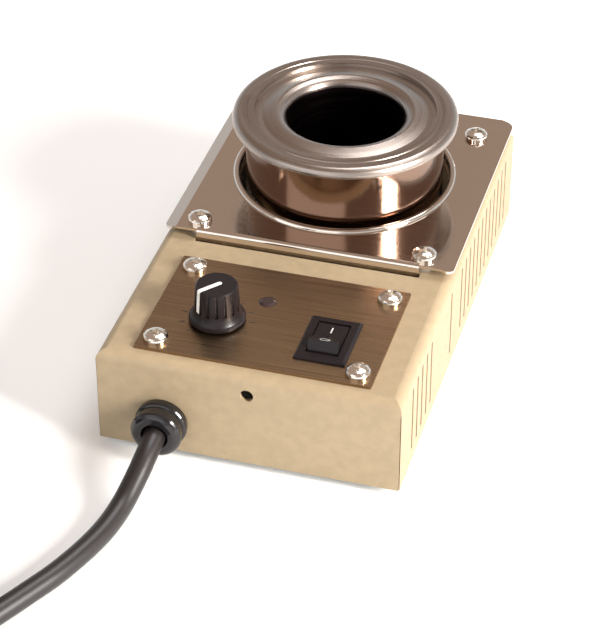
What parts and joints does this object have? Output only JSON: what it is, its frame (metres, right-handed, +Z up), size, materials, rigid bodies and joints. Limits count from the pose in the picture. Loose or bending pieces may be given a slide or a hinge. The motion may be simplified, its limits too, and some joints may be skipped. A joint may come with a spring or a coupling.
{
  "type": "solder pot",
  "caption": "Bench solder pot: flanged crucible in a polished guard on a vented steel case with a heat knob, rocker switch, indicator and mains lead.",
  "frame": {"origin": "middle of the case's footprint, on the bench under its rubber feet", "axes": "+Z up, -Y towards the front with the controls and the lead, +X towards the switch side"},
  "size_m": [0.1769, 0.2642, 0.06],
  "materials": {
    "painted_case": "fine textured powder coat",
    "polished_plate": "mirror polished stainless",
    "polished_guard": "mirror polished stainless",
    "turned_steel": "turned satin",
    "brushed_panel": "brushed",
    "bright_screws": "bright nickel plating",
    "zinc_nuts": "zinc plating",
    "zinc_sheet": "zinc plating",
    "black_rubber": "matte",
    "insulation": "fibrous white",
    "ceramic_parts": "unglazed",
    "mica_band": "heat tinted",
    "lead_sleeves": "braided sleeve",
    "knob_black": "satin black",
    "pointer_white": "paint",
    "steel_shaft": "plain",
    "brass_parts": "plain",
    "indicator_dark": "unlit dark lens",
    "switch_black": "satin black",
    "board_green": "solder mask",
    "nylon_white": "plain",
    "black_epoxy": "plain",
    "sink_aluminium": "extruded",
    "film_yellow": "plain",
    "gland_black": "glossy",
    "cord_black": "satin",
    "tie_grey": "plain",
    "plug_black": "satin",
    "plug_brass": "nickel plated"
  },
  "bodies": {
    "base": {"case_shell": "painted_case", "bottom_plate": "zinc_sheet", "corner_brackets": "zinc_sheet", "rubber_feet": "black_rubber", "foot_screws": "bright_screws", "foot_nuts": "zinc_nuts", "top_plate": "polished_plate", "plate_spacers": "zinc_sheet", "plate_screws": "bright_screws", "plate_nuts": "zinc_nuts", "crucible": "turned_steel", "crucible_guard": "polished_guard", "guard_floor": "zinc_sheet", "guard_standoffs": "ceramic_parts", "guard_bolts": "bright_screws", "guard_nuts": "zinc_nuts", "insulation_pad": "insulation", "insulation_sleeve": "insulation", "band_heater": "mica_band", "heater_clamp_bolt": "bright_screws", "heater_leads": "lead_sleeves", "control_panel": "brushed_panel", "panel_screws": "bright_screws", "panel_nuts": "zinc_nuts", "potentiometer_body": "steel_shaft", "potentiometer_nut": "brass_parts", "indicator_lens": "indicator_dark", "indicator_clip": "zinc_sheet", "switch_housing": "switch_black", "switch_terminals": "zinc_sheet", "control_board": "board_green", "board_standoffs": "nylon_white", "board_screws": "bright_screws", "triac": "black_epoxy", "heat_sink": "sink_aluminium", "capacitor": "film_yellow", "terminal_block": "ceramic_parts", "terminal_screws": "brass_parts", "earth_stud": "bright_screws", "mains_leads": "lead_sleeves", "strain_relief": "gland_black", "cord_tube": "cord_black", "cord_coil": "cord_black", "cord_tail": "cord_black", "cord_tie": "tie_grey", "plug_body": "plug_black", "plug_pins": "plug_brass"},
    "knob_unit": {"knob": "knob_black", "knob_pointer": "pointer_white", "potentiometer_shaft": "steel_shaft"},
    "rocker": {"switch_rocker": "switch_black"}
  },
  "joints": [
    {"name": "knob_turn", "type": "hinge", "parent": "base", "child": "knob_unit", "pos_m": [-0.0158, -0.0507, 0.041], "axis": [0, 0, 1], "range_deg": [-280, 0]},
    {"name": "rocker_flip", "type": "hinge", "parent": "base", "child": "rocker", "pos_m": [0.0179, -0.0524, 0.03259], "axis": [1, 0, 0], "range_deg": [0, 26]}
  ]
}
